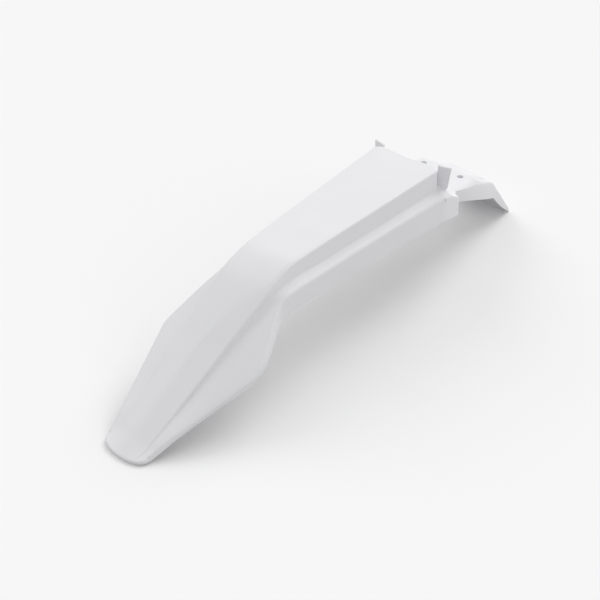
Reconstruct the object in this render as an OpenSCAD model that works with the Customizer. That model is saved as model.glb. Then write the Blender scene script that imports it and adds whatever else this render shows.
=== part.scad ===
// Front mudguard for an off-road motorcycle, moulded in one piece.
// Heights are measured from the bench that the tip and the tail rest on, and
// places along the length from the tip. The finished part is then moved so that
// its origin is the middle of the four bolt holes, on the face that meets the clamp.

/* [Overall] */
// Length from the tip to the end of the tail
length = 742; // [735:1:780]
// Thickness of the moulded wall
wall = 2.6; // [2:0.1:3.2]
// Outside radius along the rim
rim_r = 1.8; // [1:0.1:2.2]
// Outward lean of the rim and skirts, as a share of their depth
draft = 0.04; // [0:0.01:0.08]

/* [Blade] */
// Width of the tip where its rounding ends
tip_w = 68; // [60:1:80]
// Length of the rounded tip
tip_len = 20; // [16:1:26]
// Squareness of the rounded tip, where 2 is an ellipse
tip_square = 2.3; // [2:0.1:3]
// Height of the rim where the rounding of the tip ends
tip_h = 8; // [6:0.5:10]
// Depth of the turned-down rim at the tip
tip_rim = 5; // [4:0.5:6]
// Place of the widest point
corner_y = 151; // [140:1:160]
// Width at the widest point
blade_w = 156; // [140:1:172]
// Height of the rim at the widest point
corner_h = 68; // [62:1:76]
// Depth of the turned-down rim at the widest point
corner_rim = 9; // [6:0.5:12]
// Crown of each wing between the step and the rim
wing_crown = 1.2; // [0:0.1:2.5]

/* [Waist] */
// Place where the wings end at the waist
waist_y = 217; // [210:1:228]
// Width at the waist
waist_w = 102; // [98:1:110]
// Height of the ledge at the waist
waist_h = 121; // [116:1:126]
// Depth of the skirt at the waist
waist_skirt = 25; // [20:1:30]

/* [Raised panel] */
// Width of the panel at the front of the blade
panel_tip_w = 48; // [40:1:54]
// Width of the panel at the waist
panel_waist_w = 74; // [66:1:80]
// Width of the panel at its rear end
panel_rear_w = 103; // [94:1:106]
// Height of the panel edge at the front of the blade
panel_tip_h = 30; // [26:1:34]
// Height of the panel edge at the widest point of the blade
panel_corner_h = 92; // [88:1:98]
// Height of the panel edge at the waist
panel_waist_h = 134; // [130:1:140]
// Height of the panel edge behind the waist
panel_front_h = 147; // [143:1:152]
// Height of the panel edge at its rear end
panel_rear_h = 165; // [160:1:170]
// Length over which the panel rises behind the waist
rise_len = 33; // [28:1:40]
// Length over which the rise levels off
level_len = 60; // [50:1:70]
// Fall across the panel outside the V crease, as a slope
side_fall = 0.2; // [0.08:0.01:0.28]
// Fall across the panel inside the V crease, as a slope
top_fall = 0.04; // [0.02:0.01:0.08]
// Place of the point of the V crease
v_point = 136; // [124:1:148]
// Length of the shallow V hollow at the rear
hollow_len = 100; // [80:1:120]
// Slope of the sides of the rear hollow
hollow_fall = 0.1; // [0.04:0.01:0.14]
// Length of the slanted rear corners of the panel
corner_len = 8; // [6:0.5:10]
// Width of the slanted rear corners of the panel
corner_w = 7; // [5:0.5:9]

/* [Step and ledge] */
// Height of the step beside the panel near the tip
step_tip = 1.6; // [1:0.1:2.4]
// Height of the step at the widest point
step_corner = 4.5; // [3:0.5:6]
// Height of the step at the waist
step_waist = 12; // [9:1:15]
// Height of the step behind the waist
step_front = 19; // [16:1:22]
// Height of the step at the rear end of the panel
step_rear = 28; // [26:0.5:32]
// Lean of the step wall, as a share of its height
step_lean = 0.04; // [0.02:0.01:0.1]
// Rounding of the step edges
step_r = 1.6; // [0.8:0.1:2]
// Width over the two ledges at the rear
ledge_w = 131; // [126:1:134]
// Height of the ledge in the middle of its length
ledge_h = 127.5; // [125:0.5:130]
// Depth of the skirt at the rear
rear_skirt = 35; // [30:1:40]
// Length of the ledges past the end of the panel
ledge_past = 35; // [31:1:38]
// Narrowing of each ledge past the end of the panel
ledge_taper = 4; // [2:0.5:6]
// Length of the jog from the end of the ledge to the tail
jog_len = 8; // [6:1:11]

/* [Mounting plate and tail] */
// Height of the mounting plate
plate_h = 111; // [108:0.5:114]
// Length over which the end of the panel drops to the plate
plate_drop = 18; // [16:1:20]
// Distance from the end of the panel to the middle of the four holes
mount_len = 58; // [56:1:62]
// Spacing of the holes across the part
hole_x = 62; // [54:1:64]
// Spacing of the holes along the part
hole_y = 48; // [40:1:50]
// Diameter of the holes
hole_d = 9; // [6.5:0.5:10]
// Outside diameter of the bosses under the plate
boss_d = 17; // [14:0.5:18]
// Depth of the bosses under the plate
boss_h = 3; // [2:0.5:5]
// Width of the tail beside the plate
tail_w = 100; // [97:1:104]
// Width of the tail at its end
tail_end_w = 83; // [76:1:90]
// Distance from the middle of the four holes to the fold at the sides
fold_len = 96; // [92:1:104]
// Length of the tail behind the fold at its sides
end_len = 58; // [52:1:64]
// Height of the side edge of the tail at the fold
fold_h = 76; // [70:1:80]
// Distance by which the fold comes forward in the middle of the tail
fold_sweep = 38; // [32:1:42]
// Height of the fold in the middle of the tail
mid_fold_h = 107; // [103:0.5:109]
// Depth of the side walls of the tail at the fold
tail_side = 26; // [20:1:30]
// Height of the end of the tail
end_h = 6; // [5:0.5:8]

/* [Rear lugs] */
// Height of the top of the lugs
lug_h = 165.5; // [163:0.5:169]
// Distance between the middles of the lugs at the top
lug_x = 109; // [104:1:112]
// Width of a lug at its top
lug_w = 18; // [16:1:21]
// Width of a lug at its foot
lug_foot_w = 9; // [8:0.5:12]
// Thickness of a lug
lug_t = 5; // [4:0.5:6]
// Turn of a lug away from square across the part, in degrees
lug_turn = 18; // [10:1:24]
// Chamfer round a lug
lug_edge = 1.2; // [0.6:0.1:1.6]

/* [Hidden] */
$fn = 32;

// Sum of a list of numbers
function total(v, i = 0) = i < len(v) ? v[i] + total(v, i + 1) : 0;
// Sum of a list of vectors
function gather(v, i = 0) = i < len(v) - 1 ? v[i] + gather(v, i + 1) : v[i];
function unit(v) = v / norm(v);
function flat(v) = [v.x, v.y, 0];
// A bend of one slope into the next, rounded over r on both sides
function ramp(t, r) = t <= -r ? 0 : t >= r ? t : (t + r) * (t + r) / (4 * r);
function share(y, a, b) = min(1, max(0, (y - a) / (b - a)));
function slope(k, i) = (k[i + 1][1] - k[i][1]) / (k[i + 1][0] - k[i][0]);
// Height or half width at y of a line through knots [place, value, rounding]
function bent(k, y) =
    k[0][1] + slope(k, 0) * (y - k[0][0])
    + total([for (i = [1 : len(k) - 2]) (slope(k, i) - slope(k, i - 1)) * ramp(y - k[i][0], k[i][2])]);

// Places along the length that several lines share
lip_y = tip_len + 21;
front_y = tip_len + 32;
rise_y = waist_y + rise_len;
level_y = rise_y + level_len;
fold_y = length - end_len;
mid_fold_y = fold_y - fold_sweep;
mount_y = fold_y - fold_len;
panel_end = mount_y - mount_len;
corner_end = panel_end - corner_len;
hollow_point = panel_end - hollow_len;
plate_start = panel_end + plate_drop;
ledge_end = panel_end + ledge_past;
jog_end = ledge_end + jog_len;
plate_half = hole_x / 2 + boss_d / 2 + 0.5;
plate_end = mount_y + hole_y / 2 + boss_d / 2 + 4;

// Rim, seen from above and from the side, and the depth of what hangs from it
rim_x = [
    [tip_len, tip_w / 2, 1], [corner_y, blade_w / 2, 7],
    [waist_y, waist_w / 2, 9], [rise_y, waist_w / 2 + 1, 10],
    [corner_end, ledge_w / 2, 6], [ledge_end, ledge_w / 2 - ledge_taper, 2],
    [jog_end, tail_w / 2, 2], [fold_y, tail_end_w / 2 + 2, 20], [length, tail_end_w / 2, 1]];
rim_z = [
    [tip_len, tip_h, 1], [lip_y, tip_h + 12, 8], [corner_y, corner_h, 8],
    [waist_y - 12, waist_h - 11, 8], [waist_y + 10, waist_h, 8], [rise_y, waist_h + 2, 10],
    [(rise_y + panel_end) / 2, ledge_h, 40], [corner_end, ledge_h + 1.2, 8],
    [ledge_end - 6, plate_h + 4, 4], [ledge_end, plate_h - 1, 2], [jog_end, plate_h, 2],
    [fold_y, fold_h, 8], [length, end_h, 1]];
rim_depth = [
    [tip_len, tip_rim, 1], [corner_y, corner_rim, 4], [corner_y + 16, waist_skirt - 9, 4],
    [corner_y + 39, waist_skirt - 3, 8], [rise_y, waist_skirt, 8], [rise_y + 95, waist_skirt + 1.5, 20],
    [corner_end, rear_skirt, 10], [ledge_end - 6, rear_skirt - 5, 2], [ledge_end, rear_skirt - 9, 1],
    [jog_end - 2, rear_skirt - 9, 0.5], [jog_end, tail_side - 10, 0.5],
    [fold_y - 12, tail_side, 10], [length - 31, tail_side - 7, 8], [length, end_h, 1]];

// Edge of the raised panel, and the height of the step beside it
edge_x = [
    [tip_len, panel_tip_w / 2, 1], [corner_y, panel_tip_w / 2 + 9, 20],
    [waist_y - 2, panel_waist_w / 2 + 1, 14], [rise_y, panel_waist_w / 2, 14],
    [level_y, panel_waist_w / 2 + 3, 20], [corner_end, panel_rear_w / 2, 1.5],
    [panel_end, panel_rear_w / 2 - corner_w, 1.5], [mount_y - hole_y / 2, plate_half, 6],
    [plate_end, plate_half, 10], [fold_y, tail_end_w * 0.4, 10], [length, tail_end_w * 0.36, 1]];
edge_z = [
    [tip_len, tip_h + 3, 1], [front_y, panel_tip_h, 10], [corner_y, panel_corner_h, 16],
    [waist_y, panel_waist_h, 12], [rise_y, panel_front_h, 16], [level_y, panel_front_h + 5, 24],
    [panel_end, panel_rear_h, 4], [plate_start, plate_h, 3], [plate_end, plate_h, 4]];
step_h = [
    [tip_len, step_tip / 2, 1], [front_y, step_tip, 8], [corner_y, step_corner, 16],
    [waist_y, step_waist, 12], [rise_y, step_front, 14], [level_y, step_front + 4.5, 20],
    [corner_end, step_rear, 3], [panel_end, step_rear, 3], [panel_end + plate_drop / 2, 2, 2],
    [plate_start, 0, 3], [length, 0, 1]];

// Half widths of the V crease on the blade and of the hollow at the rear
function v_x(y) =
    let (e = bent(edge_x, y), open = min(1, ramp(y - v_point, 10) / (waist_y + 8 - v_point)))
    3 + (e - 8) * open;
function hollow_x(y) =
    let (open = ramp(min(panel_end, y) - hollow_point, 10) / (panel_end - hollow_point))
    1.5 + (bent(edge_x, y) - 9) * min(1, open);

// Top of the tail behind the plate: each line folds where it meets the curved fold
function tail_z(x, y) =
    let (f = pow(min(1, x / bent(rim_x, y)), 1.3),
         place = mid_fold_y + (fold_y - mid_fold_y) * f,
         height = mid_fold_h + (fold_h - mid_fold_h) * f)
    bent([[plate_end - 20, plate_h, 1], [plate_end, plate_h, 4], [place, height, 7],
          [length, end_h + 3 * (1 - f), 1]], y);

// Lines that run the length of the part, numbered outwards from the middle
MID = 0;
HOLLOW = 1;
CREASE = 2;
EDGE = 3;
FOOT = 4;
RIM = 5;
// The lines inside the panel edge fan out evenly towards the tip and the tail
function fanned(x, part, y) =
    let (fan = max(share(y, v_point - 30, tip_len), share(y, plate_start, plate_end)))
    x + (part * bent(edge_x, y) - x) * fan;
function line_x(k, y) =
    k == MID ? 0 :
    k == HOLLOW ? fanned(hollow_x(y), 0.36, y) :
    k == CREASE ? fanned(v_x(y), 0.7, y) :
    k == EDGE ? bent(edge_x, y) :
    k == FOOT ? bent(edge_x, y) + 0.4 + step_lean * bent(step_h, y) + 1.4 * share(y, panel_end, plate_start) :
    bent(rim_x, y);
// Top of the panel, which turns at the V crease and dips in the rear hollow
function panel_z(x, y) =
    let (v = v_x(y), h = y > hollow_point - 10 ? min(v, hollow_x(y)) : 0,
         crown = 1 - share(y, panel_end, plate_start))
    bent(edge_z, y) + crown * (side_fall * (bent(edge_x, y) - max(x, v))
        + top_fall * max(0, v - max(x, h)) - hollow_fall * max(0, h - x));
function line_z(k, y) =
    k == RIM ? bent(rim_z, y) :
    k == FOOT
        ? line_z(EDGE, y) - bent(step_h, y)
          - 0.25 * (line_z(EDGE, y) - bent(rim_z, y)) * share(y, plate_start, jog_end) :
    y > plate_end - 4 ? tail_z(line_x(k, y), y) : panel_z(line_x(k, y), y);

// Rows of the shell: one round the tip, then straight ones across the part
function span(a, b, n) = [for (i = [0 : n - 1]) a + (b - a) * i / n];
rows = concat(
    span(tip_len, tip_len + 40, 5), span(tip_len + 40, corner_y - 8, 7),
    span(corner_y - 8, corner_y + 8, 5), span(corner_y + 8, waist_y - 12, 5),
    span(waist_y - 12, rise_y + 12, 9), span(rise_y + 12, level_y + 30, 6),
    span(level_y + 30, corner_end - 4, 9), span(corner_end - 4, panel_end + 4, 9),
    span(panel_end + 4, plate_start + 3, 5), span(plate_start + 3, ledge_end - 8, 2),
    span(ledge_end - 8, jog_end + 3, 10), span(jog_end + 3, plate_end - 4, 3),
    span(plate_end - 4, plate_end + 4, 4), span(plate_end + 4, fold_y + 10, 10),
    span(fold_y + 10, length - 4, 4), [length - 4, length]);
last = len(rows);

// Distance along the length of the rounded tip, at x from the middle
function tip_y(x) = tip_len * (1 - pow(max(0, 1 - pow(x / (tip_w / 2), tip_square)), 1 / tip_square));
// Point of a line in a row, before any edge is rounded: row 0 is the tip
function knee(i, k) =
    i == 0
        ? let (x = line_x(k, tip_len) * 0.97, y = tip_y(x))
          [x, y, tip_rim + (tip_h - tip_rim) * y / tip_len]
        : [line_x(k, rows[i - 1]), rows[i - 1], line_z(k, rows[i - 1])];
function mirrored(v, c) = [c < 0 ? -v.x : v.x, v.y, v.z];
half = [for (i = [0 : last]) [for (k = [MID : RIM]) knee(i, k)]];
function sharp(i, k) = mirrored(half[i][abs(k)], k);

// Three points that round the corner b between a and c
function rounded(a, b, c, r) =
    let (p = b + r * unit(a - b), q = b + r * unit(c - b)) [p, (p + 2 * b + q) / 4, q];
SIDE = 12;
// Point of the wing at share t between the step and the rim, on the arc in the tip row
function wing(h, t, tip) =
    let (p = h[FOOT] + t * (h[RIM] - h[FOOT]), y = tip_y(p.x), width = h[RIM].x - h[FOOT].x)
    tip ? [p.x, y, tip_rim + (tip_h - tip_rim) * y / tip_len]
        : p + [0, 0, 4 * t * (1 - t) * wing_crown * min(1, width / 30)];
function half_row(h, tip) =
    let (r = min(step_r, 0.4 * norm(h[EDGE] - h[FOOT])))
    concat([h[MID], h[HOLLOW], h[CREASE]],
        rounded(h[CREASE], h[EDGE], h[FOOT], r), rounded(h[EDGE], h[FOOT], h[RIM], r),
        [for (t = [0.36, 0.65, 0.87]) wing(h, t, tip)], [h[RIM]]);
skin = [for (i = [0 : last]) half_row(half[i], i == 0)];
function raw(i, c) = mirrored(skin[i][abs(c)], c);

// The boundary, once round: right side, end of the tail, left side and tip
loop = concat(
    [for (i = [0 : last]) [i, SIDE]], [for (c = [SIDE - 1 : -1 : 1 - SIDE]) [last, c]],
    [for (i = [last : -1 : 0]) [i, -SIDE]], [for (c = [1 - SIDE : SIDE - 1]) [0, c]]);
turn = len(loop);
function at(n) = let (p = loop[(n + turn) % turn]) raw(p[0], p[1]);
function outward(n) = let (t = flat(at(n + 1) - at(n - 1))) unit([t.y, -t.x, 0]);
out = [for (n = [0 : turn - 1]) outward(n)];
// Number of a boundary point in the loop
function loop_at(i, c) =
    c == SIDE ? i :
    i == last && c > -SIDE ? last + SIDE - c :
    c == -SIDE ? last + 2 * SIDE + last - i :
    2 * last + 3 * SIDE + c;
function drop(i, z) = i == last ? z : i == 0 ? tip_rim : bent(rim_depth, rows[i - 1]);

// Steepness of the skin just inside the boundary
function inside(i, c) = i == 0 ? raw(1, c) : i == last ? raw(last - 1, c) : raw(i, sign(c) * (SIDE - 1));
function climb(i, c) =
    let (s = raw(i, c), p = inside(i, c)) min(1.4, max(-0.4, (p.z - s.z) / max(1, norm(flat(p - s)))));

// Outer skin, drawn in by the rim's radius all round
function outer(i, c) =
    i > 0 && i < last && abs(c) < SIDE
        ? raw(i, c)
        : raw(i, c) - rim_r * out[loop_at(i, c)] + [0, 0, rim_r * climb(i, c)];

// Inner skin, one wall below the outer one
function face(i, k) =
    let (p = sharp(i, k), u = sharp(i + 1, k + 1) - p, v = sharp(i + 1, k) - sharp(i, k + 1)) unit(cross(u, v));
LINES = [0, 1, 2, 4, 7, 12];
function inner(i, k) =
    i > 0 && i < last && abs(k) < RIM
        ? let (f = [face(i, k), face(i - 1, k), face(i, k - 1), face(i - 1, k - 1)],
               m = unit(gather(f)), fit = total([for (n = f) n * m]) / 4)
          sharp(i, k) - wall / fit * m
        : let (c = sign(k) * LINES[abs(k)], g = climb(i, c))
          raw(i, c) - wall * out[loop_at(i, c)] + [0, 0, wall * (g - sqrt(1 + g * g))];

// Rings that turn the boundary down and bring it back inside
function ring(n, depth, shift) = at(n) - [0, 0, depth] + shift * out[n];
function fall(n) = drop(loop[n][0], at(n).z);
rings = [
    [for (n = [0 : turn - 1]) ring(n, 0.293 * rim_r, -0.293 * rim_r)],
    [for (n = [0 : turn - 1]) ring(n, rim_r, 0)],
    [for (n = [0 : turn - 1]) ring(n, fall(n), draft * fall(n))],
    [for (n = [0 : turn - 1]) ring(n, fall(n), draft * fall(n) - wall)]];

across = 2 * SIDE + 1;
ribs_across = 2 * RIM + 1;
inner_base = (last + 1) * across;
ring_base = inner_base + (last + 1) * ribs_across;
function outer_id(i, c) = i * across + c + SIDE;
function inner_id(i, k) = inner_base + i * ribs_across + k + RIM;
function ring_id(m, n) = ring_base + m * turn + n % turn;
// Line of the inner skin that a column of the outer skin stands over
OVER = [0, 1, 2, 3, 3, 3, 4, 4, 4, 4, 4, 5, 5];
function near_id(n) = let (p = loop[n % turn]) inner_id(p[0], sign(p[1]) * OVER[abs(p[1])]);
function rim_id(n) = let (p = loop[n % turn]) outer_id(p[0], p[1]);
function quad(a, b, c, d) = concat(a == b ? [] : [[a, b, c]], c == d ? [] : [[a, c, d]]);
// The same on both sides of the middle: one diagonal is the mirror image of the other
function paired(left, a, b, c, d) = left ? quad(b, c, d, a) : quad(a, b, c, d);

module shell() {
    points = concat(
        [for (i = [0 : last]) for (c = [-SIDE : SIDE]) outer(i, c)],
        [for (i = [0 : last]) for (k = [-RIM : RIM]) inner(i, k)],
        [for (r = rings) for (p = r) p]);
    top = [for (i = [0 : last - 1]) for (c = [-SIDE : SIDE - 1])
        each paired(c < 0, outer_id(i, c), outer_id(i + 1, c), outer_id(i + 1, c + 1), outer_id(i, c + 1))];
    under = [for (i = [0 : last - 1]) for (k = [-RIM : RIM - 1])
        each paired(k < 0, inner_id(i, k), inner_id(i, k + 1), inner_id(i + 1, k + 1), inner_id(i + 1, k))];
    edge = [for (n = [0 : turn - 1])
        each quad(rim_id(n), rim_id(n + 1), ring_id(0, n + 1), ring_id(0, n))];
    sides = [for (m = [0 : 2]) for (n = [0 : turn - 1])
        each quad(ring_id(m, n), ring_id(m, n + 1), ring_id(m + 1, n + 1), ring_id(m + 1, n))];
    inside = [for (n = [0 : turn - 1])
        each quad(ring_id(3, n), ring_id(3, n + 1), near_id(n + 1), near_id(n))];
    polyhedron(points, concat(top, under, edge, sides, inside));
}

// Front view of a lug, measured from its inner edge: it narrows to a round foot
lug_base_z = ledge_h + 1;
module lug_outline(inset) {
    foot_r = lug_foot_w / 2;
    hull() {
        translate([lug_w - foot_r - 3, lug_base_z + foot_r]) circle(foot_r - inset);
        translate([inset, lug_h - lug_w - inset]) square([lug_w / 2, lug_w]);
        translate([inset, lug_h - 1 - inset]) square([lug_w - 2 * inset, 1]);
        translate([inset, lug_base_z + inset]) square([3, 3]);
    }
}

// The lug stands behind the slanted corner of the panel, with its edges chamfered
module lug() {
    translate([(lug_x - lug_w) / 2, panel_end + 1, 0]) rotate([0, 0, lug_turn])
        translate([0, lug_t, 0]) rotate([90, 0, 0])
            hull() {
                linear_extrude(lug_t) lug_outline(lug_edge);
                translate([0, 0, lug_edge]) linear_extrude(lug_t - 2 * lug_edge) lug_outline(0);
            }
}

// Nib on the edge of the ledge at the corner of the skirt
module nib() {
    nib_w = 5;
    translate([ledge_w / 2 - 1.5, corner_end + 3, ledge_h - nib_w]) cube([2.2, nib_w, nib_w]);
}

module hole_places() {
    for (x = [-1, 1])
        for (y = [-1, 1])
            translate([x * hole_x / 2, mount_y + y * hole_y / 2, plate_h]) children();
}

// Bosses and ribs on the underside of the plate
module plate_underside() {
    rib_w = wall * 0.8;
    depth = wall / 2 + boss_h;
    hole_places() translate([0, 0, -wall - boss_h]) cylinder(d = boss_d, h = depth);
    for (x = [-1, 1])
        translate([x * hole_x / 2 - rib_w / 2, mount_y - hole_y / 2, plate_h - wall - boss_h])
            cube([rib_w, hole_y, depth]);
    for (y = [-1, 1])
        translate([-hole_x / 2, mount_y + y * hole_y / 2 - rib_w / 2, plate_h - wall - boss_h])
            cube([hole_x, rib_w, depth]);
}

module mudguard() {
    color("white") translate([0, -mount_y, -plate_h]) difference() {
        union() {
            shell();
            plate_underside();
            for (s = [0, 1])
                mirror([s, 0, 0]) {
                    lug();
                    nib();
                }
        }
        hole_places() translate([0, 0, -wall - boss_h - 1]) cylinder(d = hole_d, h = wall + boss_h + 2);
    }
}

mudguard();
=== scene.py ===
"""Dresses the motorcycle front mudguard: moulded white plastic on a plain pale floor."""

import logging
import math
from collections.abc import Sequence
from dataclasses import dataclass, field
from enum import Enum
from typing import Optional, Union

import bpy
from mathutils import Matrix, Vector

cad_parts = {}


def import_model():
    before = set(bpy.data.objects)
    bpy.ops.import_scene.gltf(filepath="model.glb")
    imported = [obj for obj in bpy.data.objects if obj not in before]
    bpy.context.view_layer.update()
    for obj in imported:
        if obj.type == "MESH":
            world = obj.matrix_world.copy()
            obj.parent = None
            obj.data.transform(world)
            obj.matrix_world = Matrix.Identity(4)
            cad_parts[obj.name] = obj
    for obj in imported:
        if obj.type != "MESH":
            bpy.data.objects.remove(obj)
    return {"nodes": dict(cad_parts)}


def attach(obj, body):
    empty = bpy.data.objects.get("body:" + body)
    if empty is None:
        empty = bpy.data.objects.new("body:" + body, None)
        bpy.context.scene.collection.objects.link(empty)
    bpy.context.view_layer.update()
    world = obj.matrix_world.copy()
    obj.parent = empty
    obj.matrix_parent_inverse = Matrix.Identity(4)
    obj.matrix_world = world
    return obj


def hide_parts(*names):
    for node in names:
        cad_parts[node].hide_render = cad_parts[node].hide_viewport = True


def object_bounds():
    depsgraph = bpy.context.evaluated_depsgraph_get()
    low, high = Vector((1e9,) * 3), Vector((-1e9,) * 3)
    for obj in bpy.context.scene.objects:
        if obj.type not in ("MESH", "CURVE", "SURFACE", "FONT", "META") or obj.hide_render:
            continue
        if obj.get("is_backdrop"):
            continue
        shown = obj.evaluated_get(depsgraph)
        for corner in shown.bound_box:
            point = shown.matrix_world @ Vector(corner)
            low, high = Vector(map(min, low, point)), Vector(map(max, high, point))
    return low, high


LOG = logging.getLogger("mudguard")
Vector3 = tuple[float, float, float]
Colour = tuple[float, float, float, float]

# Sockets of a colour Mix node, which repeats its names for each type of data.
MIX_FACTOR, MIX_FIRST_COLOUR, MIX_SECOND_COLOUR, MIXED_COLOUR = 0, 6, 7, 2


def srgb(hex_colour: str) -> Colour:
    """Turn an sRGB hex colour to linear red, green, blue and alpha.

    Args:
        hex_colour: Six hexadecimal digits, with or without a leading hash.

    Returns:
        The linear colour with an alpha of 1.
    """
    digits = hex_colour.lstrip("#")
    linear = []
    for start in (0, 2, 4):
        value = int(digits[start : start + 2], 16) / 255
        linear.append(value / 12.92 if value <= 0.04045 else ((value + 0.055) / 1.055) ** 2.4)
    return (linear[0], linear[1], linear[2], 1.0)


def add_node(
    tree: bpy.types.NodeTree,
    kind: str,
    settings: Optional[dict[str, object]] = None,
    inputs: Optional[dict[Union[str, int], object]] = None,
) -> bpy.types.Node:
    """Add a node with its settings, and give its sockets values or links.

    Args:
        tree: Node tree that the node joins.
        kind: Blender's name of the node type.
        settings: Attributes of the node itself.
        inputs: Socket name or place to a value, or to an output socket linked to it.

    Returns:
        The new node.
    """
    node = tree.nodes.new(kind)
    for name, value in (settings or {}).items():
        setattr(node, name, value)
    for name, value in (inputs or {}).items():
        socket = node.inputs[name]
        if isinstance(value, bpy.types.NodeSocket):
            tree.links.new(value, socket)
        else:
            socket.default_value = value
    return node


def empty_material(name: str) -> tuple[bpy.types.Material, bpy.types.NodeTree, bpy.types.Node]:
    """Make a material with nothing in it but its output.

    Args:
        name: Name of the material.

    Returns:
        The material, its node tree and its output node.
    """
    material = bpy.data.materials.new(name)
    material.use_nodes = True
    tree = material.node_tree
    tree.nodes.clear()
    return material, tree, add_node(tree, "ShaderNodeOutputMaterial")


def shown_ray(tree: bpy.types.NodeTree) -> bpy.types.NodeSocket:
    """Tell rays that show a surface from rays that only carry its light to other surfaces.

    Args:
        tree: Node tree that needs the answer.

    Returns:
        A socket that is 1 for camera, glossy and transmission rays, and 0 for the others.
    """
    path = add_node(tree, "ShaderNodeLightPath")
    mirrored = add_node(
        tree,
        "ShaderNodeMath",
        {"operation": "MAXIMUM"},
        {0: path.outputs["Is Glossy Ray"], 1: path.outputs["Is Transmission Ray"]},
    )
    shown = add_node(
        tree,
        "ShaderNodeMath",
        {"operation": "MAXIMUM"},
        {0: path.outputs["Is Camera Ray"], 1: mirrored.outputs["Value"]},
    )
    return shown.outputs["Value"]


@dataclass(frozen=True)
class MouldedPolypropylene:
    """White polypropylene from a satin-polished injection mould.

    The satin leaves a broad soft sheen, too dull to mirror a lamp as a white patch. Where
    the melt cooled unevenly the face has faint waves some centimetres long, and the skin
    has a very fine orange peel. Sizes in mm are those of the patterns' spots, and the two
    heights are in metres.
    """

    name: str = "moulded_white_polypropylene"
    colour: str = "#EBEBED"
    flow_colour: str = "#E6E6E9"
    roughness_low: float = 0.5
    roughness_high: float = 0.6
    ior: float = 1.49
    flow_mm: float = 60.0
    wave_mm: float = 34.0
    peel_mm: float = 1.3
    wave_height: float = 0.00012
    peel_height: float = 0.00002
    flow_detail: float = 3.0
    sheen_detail: float = 4.0
    relief_detail: float = 2.0

    def build(self) -> bpy.types.Material:
        """Build the material.

        Returns:
            The finished material.
        """
        material, tree, output = empty_material(self.name)
        place = add_node(tree, "ShaderNodeTexCoord").outputs["Object"]
        flow = self._noise(tree, place, self.flow_mm, self.flow_detail)
        sheen = self._noise(tree, place, self.wave_mm, self.sheen_detail)
        waves = self._noise(tree, place, self.wave_mm, self.relief_detail)
        peel = self._noise(tree, place, self.peel_mm, self.relief_detail)
        tint = add_node(
            tree,
            "ShaderNodeMix",
            {"data_type": "RGBA"},
            {
                MIX_FACTOR: flow.outputs["Fac"],
                MIX_FIRST_COLOUR: srgb(self.colour),
                MIX_SECOND_COLOUR: srgb(self.flow_colour),
            },
        )
        rough = add_node(
            tree,
            "ShaderNodeMapRange",
            inputs={
                "Value": sheen.outputs["Fac"],
                "To Min": self.roughness_low,
                "To Max": self.roughness_high,
            },
        )
        waved = self._bump(tree, waves, self.wave_height)
        peeled = self._bump(tree, peel, self.peel_height, waved)
        shader = add_node(
            tree,
            "ShaderNodeBsdfPrincipled",
            inputs={
                "Base Color": tint.outputs[MIXED_COLOUR],
                "Roughness": rough.outputs["Result"],
                "IOR": self.ior,
                "Normal": peeled.outputs["Normal"],
            },
        )
        tree.links.new(shader.outputs["BSDF"], output.inputs["Surface"])
        return material

    @staticmethod
    def _noise(
        tree: bpy.types.NodeTree, place: bpy.types.NodeSocket, size_mm: float, detail: float
    ) -> bpy.types.Node:
        """Add a noise pattern.

        Args:
            tree: Node tree that the pattern joins.
            place: Socket of the coordinates it follows.
            size_mm: About how wide its spots are, in millimetres.
            detail: How many finer layers it has.

        Returns:
            The noise node.
        """
        return add_node(
            tree,
            "ShaderNodeTexNoise",
            inputs={"Vector": place, "Scale": 1000 / size_mm, "Detail": detail, "Roughness": 0.5},
        )

    @staticmethod
    def _bump(
        tree: bpy.types.NodeTree,
        pattern: bpy.types.Node,
        height: float,
        under: Optional[bpy.types.Node] = None,
    ) -> bpy.types.Node:
        """Add relief, on top of another relief if there is one.

        Args:
            tree: Node tree that the relief joins.
            pattern: Node whose factor gives the shape of the relief.
            height: Height of the relief in metres.
            under: The relief below this one.

        Returns:
            The bump node.
        """
        inputs: dict[str, object] = {
            "Height": pattern.outputs["Fac"],
            "Distance": height,
            "Strength": 1.0,
        }
        if under is not None:
            inputs["Normal"] = under.outputs["Normal"]
        return add_node(tree, "ShaderNodeBump", inputs=inputs)


@dataclass(frozen=True)
class PaperSweep:
    """Matt off-white background paper, which keeps the object's shadow.

    It throws less light up at the object than it shows, which was fitted to the
    photograph's tones together with the lamps.
    """

    name: str = "background_paper"
    colour: str = "#F7F7F7"
    thrown_colour: str = "#DCDCDC"
    roughness: float = 0.95

    def build(self) -> bpy.types.Material:
        """Build the material.

        Returns:
            The finished material.
        """
        material, tree, output = empty_material(self.name)
        tone = add_node(
            tree,
            "ShaderNodeMix",
            {"data_type": "RGBA"},
            {
                MIX_FACTOR: shown_ray(tree),
                MIX_FIRST_COLOUR: srgb(self.thrown_colour),
                MIX_SECOND_COLOUR: srgb(self.colour),
            },
        )
        shader = add_node(
            tree,
            "ShaderNodeBsdfPrincipled",
            inputs={
                "Base Color": tone.outputs[MIXED_COLOUR],
                "Roughness": self.roughness,
                "Specular IOR Level": 0.0,
            },
        )
        tree.links.new(shader.outputs["BSDF"], output.inputs["Surface"])
        return material


class Direction(Enum):
    """The ways in which a stretch of the moulding can be moved."""

    OUTWARDS = "X"
    BACKWARDS = "Y"
    UPWARDS = "Z"


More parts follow.
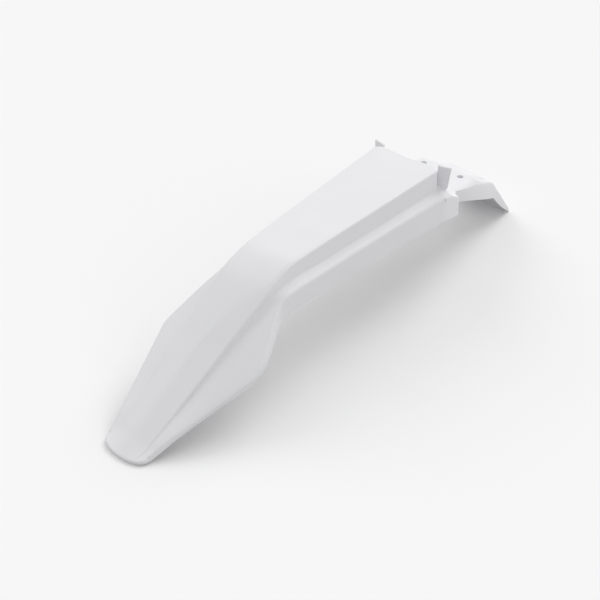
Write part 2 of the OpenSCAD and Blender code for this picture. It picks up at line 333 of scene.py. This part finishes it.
@dataclass(frozen=True)
class Stretch:
    """A range in millimetres with soft ends, measured from a line along the part.

    The line is given by knots of place from the tip and value, and is 0 without any. An end
    that isn't given lies past the part.
    """

    start: float = -1000.0
    full_from: float = -999.0
    full_to: float = 999.0
    end: float = 1000.0
    line: tuple[tuple[float, float], ...] = ()

    def share(self, value: float, place: float) -> float:
        """Find how fully a value lies in the range.

        Args:
            value: Distance or height in millimetres.
            place: Distance from the tip in millimetres.

        Returns:
            1 inside the range, 0 outside it, and a smooth change in its soft ends.
        """
        offset = value - self._line_at(place)
        rise = (offset - self.start) / (self.full_from - self.start)
        fall = (self.end - offset) / (self.end - self.full_to)
        part = max(0.0, min(1.0, rise, fall))
        return part * part * (3.0 - 2.0 * part)

    def _line_at(self, place: float) -> float:
        """Read the line at a distance from the tip.

        Args:
            place: Distance from the tip in millimetres.

        Returns:
            The line's value in millimetres.
        """
        if not self.line:
            return 0.0
        for (near, low), (far, high) in zip(self.line, self.line[1:]):
            if place <= far:
                return low + (high - low) * max(0.0, place - near) / (far - near)
        return self.line[-1][1]


@dataclass(frozen=True)
class Reworking:
    """A small change of form, worked into a stretch of the moulding by up to some millimetres."""

    name: str
    direction: Direction
    millimetres: float
    along: Stretch
    across: Stretch = Stretch()
    above: Stretch = Stretch()

    def apply(self, skin: bpy.types.Object, tip: float, floor: float) -> None:
        """Move the stretch, on both sides alike.

        Args:
            skin: The object whose mesh is changed.
            tip: Place of the tip along the part, in metres.
            floor: Height of the floor, in metres.
        """
        sides = (1, -1) if self.direction is Direction.OUTWARDS else (0,)
        for side in sides:
            group = skin.vertex_groups.new(name=f"{self.name}_{side}")
            for vertex in skin.data.vertices:
                if side * vertex.co.x < 0:
                    continue
                place = 1000.0 * (vertex.co.y - tip)
                weight = (
                    self.along.share(place, place)
                    * self.across.share(1000.0 * abs(vertex.co.x), place)
                    * self.above.share(1000.0 * (vertex.co.z - floor), place)
                )
                if weight > 0.0:
                    group.add([vertex.index], weight, "REPLACE")
            move = skin.modifiers.new(group.name, "DISPLACE")
            move.direction = self.direction.value
            move.mid_level = 0.0
            move.strength = (side or 1) * self.millimetres / 1000.0
            move.vertex_group = group.name
            bpy.ops.object.modifier_apply(modifier=move.name)


# Lines along the part: distance from the tip, and distance from the middle or height
# above the floor, all in millimetres.
TAIL_RIM_HEIGHT = ((573.0, 111.0), (684.0, 76.0), (742.0, 6.0))
TAIL_RIM_WIDTH = ((573.0, 50.0), (684.0, 43.5), (742.0, 41.5))
BLADE_RIM = ((0.0, 5.0), (20.0, 8.0), (41.0, 20.0), (151.0, 68.0), (205.0, 110.0))
PANEL_EDGE = ((20.0, 24.0), (151.0, 33.0), (215.0, 38.0), (250.0, 37.0), (310.0, 40.0))
CREASE = ((136.0, 3.0), (180.0, 16.5), (225.0, 33.0), (250.0, 32.0), (310.0, 35.0), (470.0, 43.8))
CREASE_HALF_WAY = ((136.0, 18.0), (225.0, 35.5), (250.0, 34.5), (310.0, 37.5))

# Stretches that two reworkings share.
BELOW_THE_BLADE_RIM = Stretch(full_to=-5.0, end=-2.0, line=BLADE_RIM)
ALONG_THE_BLADE_STEP = Stretch(44.0, 90.0, 205.0, 228.0)
ALONG_THE_TAIL_SHOULDER = Stretch(573.0, 598.0, 640.0, 700.0)
OUTER_PART_OF_THE_TAIL = Stretch(38.0, 47.0)

REWORKINGS = (
    Reworking(
        "undercut_of_the_blade_rim",
        Direction.OUTWARDS,
        -5.0,
        along=Stretch(24.0, 110.0, 152.0, 168.0),
        across=Stretch(26.0, 30.0),
        above=BELOW_THE_BLADE_RIM,
    ),
    Reworking(
        "deeper_blade_rim",
        Direction.UPWARDS,
        -4.0,
        along=Stretch(40.0, 110.0, 152.0, 168.0),
        across=Stretch(38.0, 44.0),
        above=BELOW_THE_BLADE_RIM,
    ),
    Reworking(
        "undercut_of_the_tip",
        Direction.BACKWARDS,
        1.6,
        along=Stretch(full_to=12.0, end=24.0),
        above=Stretch(full_to=1.6, end=3.0),
    ),
    Reworking(
        "deeper_foot_of_the_blade_step",
        Direction.UPWARDS,
        -1.6,
        along=ALONG_THE_BLADE_STEP,
        across=Stretch(0.1, 0.9, 3.0, 16.0, line=PANEL_EDGE),
    ),
    Reworking(
        "steeper_blade_step",
        Direction.OUTWARDS,
        -1.2,
        along=ALONG_THE_BLADE_STEP,
        across=Stretch(0.2, 0.8, 2.6, 6.0, line=PANEL_EDGE),
    ),
    Reworking(
        "ridge_of_the_crease",
        Direction.UPWARDS,
        1.1,
        along=Stretch(132.0, 172.0, 240.0, 300.0),
        across=Stretch(full_to=-1.0, end=1.0, line=CREASE_HALF_WAY),
    ),
    Reworking(
        "crisp_line_of_the_crease",
        Direction.UPWARDS,
        0.7,
        along=Stretch(134.0, 152.0, 300.0, 380.0),
        across=Stretch(-3.0, -0.6, 0.6, 3.0, line=CREASE),
    ),
    Reworking(
        "fillet_at_the_foot_of_the_lugs",
        Direction.UPWARDS,
        4.0,
        along=Stretch(518.0, 531.0, 545.0, 556.0),
        across=Stretch(44.0, 49.0, 58.0, 66.0),
        above=Stretch(90.0, 110.0, 140.0, 156.0),
    ),
    Reworking(
        "fuller_rear_of_the_panel",
        Direction.UPWARDS,
        1.8,
        along=Stretch(470.0, 515.0, 531.0, 546.0),
        across=Stretch(full_to=24.0, end=42.0),
    ),
    Reworking(
        "wider_shoulder_of_the_tail",
        Direction.OUTWARDS,
        5.8,
        along=ALONG_THE_TAIL_SHOULDER,
        across=OUTER_PART_OF_THE_TAIL,
    ),
    Reworking(
        "higher_shoulder_of_the_tail",
        Direction.UPWARDS,
        3.4,
        along=ALONG_THE_TAIL_SHOULDER,
        across=OUTER_PART_OF_THE_TAIL,
    ),
)


@dataclass
class MouldedShell:
    """The mudguard itself: one moulding with soft shading between its firm edges.

    The tip and the floor are places in the frame, in metres.
    """

    node: str = "mudguard"
    piece: str = "mudguard_moulding"
    body: str = "root"
    slot: str = "shell"
    tip: float = -0.588
    floor: float = -0.111
    crease_along: Stretch = Stretch(573.0, 577.0, 728.0, 734.0)
    crease_across: Stretch = Stretch(-3.4, -2.4, 1.5, 2.5, line=TAIL_RIM_WIDTH)
    crease_above: Stretch = Stretch(-3.4, -2.4, 4.0, 5.0, line=TAIL_RIM_HEIGHT)
    crease_passes: int = 2
    crease_least_share: float = 0.5
    outer_face_limit: float = -0.3
    reworkings: tuple[Reworking, ...] = REWORKINGS
    merge_distance: float = 0.00002
    smooth_angle: float = math.radians(34)
    flat_face_weight: int = 70
    finish: MouldedPolypropylene = field(default_factory=MouldedPolypropylene)

    def build(self, solid: bpy.types.Object) -> bpy.types.Object:
        """Copy the solid's surface, join its triangles, rework it and smooth its shading.

        Args:
            solid: The object of the solid that the frame loaded.

        Returns:
            The piece that shows in place of the plain solid.
        """
        bpy.ops.object.select_all(action="DESELECT")
        skin = bpy.data.objects.new(self.piece, solid.data.copy())
        skin.data.name = self.piece
        bpy.context.collection.objects.link(skin)
        skin.select_set(True)
        bpy.context.view_layer.objects.active = skin
        bpy.ops.object.mode_set(mode="EDIT")
        bpy.ops.mesh.select_all(action="SELECT")
        bpy.ops.mesh.remove_doubles(threshold=self.merge_distance)
        bpy.ops.mesh.select_all(action="DESELECT")
        bpy.ops.object.mode_set(mode="OBJECT")
        self._ease_tail_creases(skin)
        for reworking in self.reworkings:
            reworking.apply(skin, self.tip, self.floor)
        skin.vertex_groups.clear()
        bpy.ops.object.shade_smooth_by_angle(angle=self.smooth_angle)
        weighted = skin.modifiers.new("even_light", "WEIGHTED_NORMAL")
        weighted.keep_sharp = True
        weighted.weight = self.flat_face_weight
        bpy.ops.object.modifier_apply(modifier=weighted.name)
        skin.data.materials.clear()
        skin.data.materials.append(self.finish.build())
        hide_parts(self.node)
        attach(skin, self.body)
        return skin

    def _ease_tail_creases(self, skin: bpy.types.Object) -> None:
        """Ease the small fold that the solid's skin has along the two creases of the tail.

        Args:
            skin: The object whose mesh is eased, on its outer face alone.
        """
        for vertex in skin.data.vertices:
            place = 1000.0 * (vertex.co.y - self.tip)
            side = 1.0 if vertex.co.x > 0.0 else -1.0
            outer = side * vertex.normal.x + vertex.normal.z > self.outer_face_limit
            vertex.select = outer and (
                self.crease_along.share(place, place)
                * self.crease_across.share(1000.0 * abs(vertex.co.x), place)
                * self.crease_above.share(1000.0 * (vertex.co.z - self.floor), place)
                > self.crease_least_share
            )
        bpy.ops.object.mode_set(mode="EDIT")
        bpy.ops.mesh.vertices_smooth(
            factor=0.5, repeat=self.crease_passes, xaxis=True, yaxis=False, zaxis=True
        )
        bpy.ops.mesh.select_all(action="DESELECT")
        bpy.ops.object.mode_set(mode="OBJECT")


@dataclass(frozen=True)
class SoftLamp:
    """A broad lamp far away, placed by its compass bearing and its height above the floor.

    A bearing of 0 is behind the tail, -90 is the left side and 90 is the right side.
    """

    name: str
    strength: float
    bearing: float
    height: float
    spread: float = 40.0

    def build(self) -> bpy.types.Object:
        """Hang the lamp.

        Returns:
            The lamp object.
        """
        data = bpy.data.lights.new(self.name, "SUN")
        data.energy = self.strength
        data.angle = math.radians(self.spread)
        lamp = bpy.data.objects.new(self.name, data)
        lamp.rotation_euler = (
            math.radians(90.0 - self.height),
            0.0,
            math.radians(180.0 - self.bearing),
        )
        bpy.context.collection.objects.link(lamp)
        return lamp


@dataclass
class Studio:
    """A pale floor under an even sky, with soft lamps behind, to the left and to the right."""

    floor_size: float = 14.0
    sky_strength: float = 0.57
    sky_seen: str = "#F5F5F5"
    lamps: tuple[SoftLamp, ...] = (
        SoftLamp("softbox_behind", 1.27, 0.0, 42.0),
        SoftLamp("softbox_left", 0.58, -90.0, 40.0),
        SoftLamp("fill_on_the_right", 0.25, 100.0, 30.0),
    )
    paper: PaperSweep = field(default_factory=PaperSweep)

    def build(self, floor_height: float) -> None:
        """Make the floor, the sky and the lamps.

        Args:
            floor_height: Height of the floor, where the object rests.
        """
        self._floor(floor_height)
        self._sky()
        for lamp in self.lamps:
            lamp.build()

    def _floor(self, height: float) -> None:
        """Lay the paper sweep.

        Args:
            height: Height of the floor.
        """
        bpy.ops.object.select_all(action="DESELECT")
        bpy.ops.mesh.primitive_plane_add(size=self.floor_size, location=(0.0, 0.0, height))
        floor = bpy.context.active_object
        floor.name = "floor"
        bpy.ops.object.transform_apply(location=True, rotation=True, scale=True)
        floor.data.materials.append(self.paper.build())
        floor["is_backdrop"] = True

    def _sky(self) -> None:
        """Light the scene evenly, and show the paper's tone where nothing stands.

        The tone is for what the camera sees straight on, in a reflection or through glass.
        """
        world = bpy.data.worlds.new("studio_sky")
        bpy.context.scene.world = world
        world.use_nodes = True
        tree = world.node_tree
        tree.nodes.clear()
        output = add_node(tree, "ShaderNodeOutputWorld")
        light = add_node(
            tree,
            "ShaderNodeBackground",
            inputs={"Color": (1.0, 1.0, 1.0, 1.0), "Strength": self.sky_strength},
        )
        seen = add_node(
            tree, "ShaderNodeBackground", inputs={"Color": srgb(self.sky_seen), "Strength": 1.0}
        )
        mix = add_node(
            tree,
            "ShaderNodeMixShader",
            inputs={
                0: shown_ray(tree),
                1: light.outputs["Background"],
                2: seen.outputs["Background"],
            },
        )
        tree.links.new(mix.outputs["Shader"], output.inputs["Surface"])


@dataclass
class PhotographCamera:
    """The camera of the photograph, found from its perspective and the part's symmetry."""

    place: Vector3 = (0.7413, -1.1309, 0.7446)
    elevation: float = math.radians(35.5)
    azimuth: float = math.radians(41.0)
    lens_mm: float = 66.0
    sensor_mm: float = 36.0

    def build(self) -> bpy.types.Object:
        """Make the camera and set it as the scene's.

        Returns:
            The camera object.
        """
        data = bpy.data.cameras.new("photograph")
        data.lens = self.lens_mm
        data.sensor_width = self.sensor_mm
        data.clip_start = 0.01
        data.clip_end = 50.0
        camera = bpy.data.objects.new("photograph", data)
        camera.location = self.place
        camera.rotation_euler = (math.pi / 2 - self.elevation, 0.0, self.azimuth)
        bpy.context.collection.objects.link(camera)
        bpy.context.scene.camera = camera
        return camera


def plain_box(bounds: Sequence[Sequence[float]]) -> list[list[float]]:
    """Args:
        bounds: The box's lowest and highest corner.

    Returns:
        The two corners as lists that json can write.
    """
    return [[float(value) for value in corner] for corner in bounds]


def main() -> None:
    """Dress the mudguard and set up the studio."""
    logging.basicConfig(level=logging.INFO, format="%(name)s: %(message)s")
    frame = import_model()
    solid_box = plain_box(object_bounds())
    moulding = MouldedShell()
    shell = moulding.build(frame["nodes"][moulding.node])
    LOG.info("%s has %d faces", shell.name, len(shell.data.polygons))
    Studio().build(floor_height=solid_box[0][2])
    PhotographCamera().build()
    bpy.context.scene.view_settings.view_transform = "Standard"


if __name__ == "__main__":
    main()
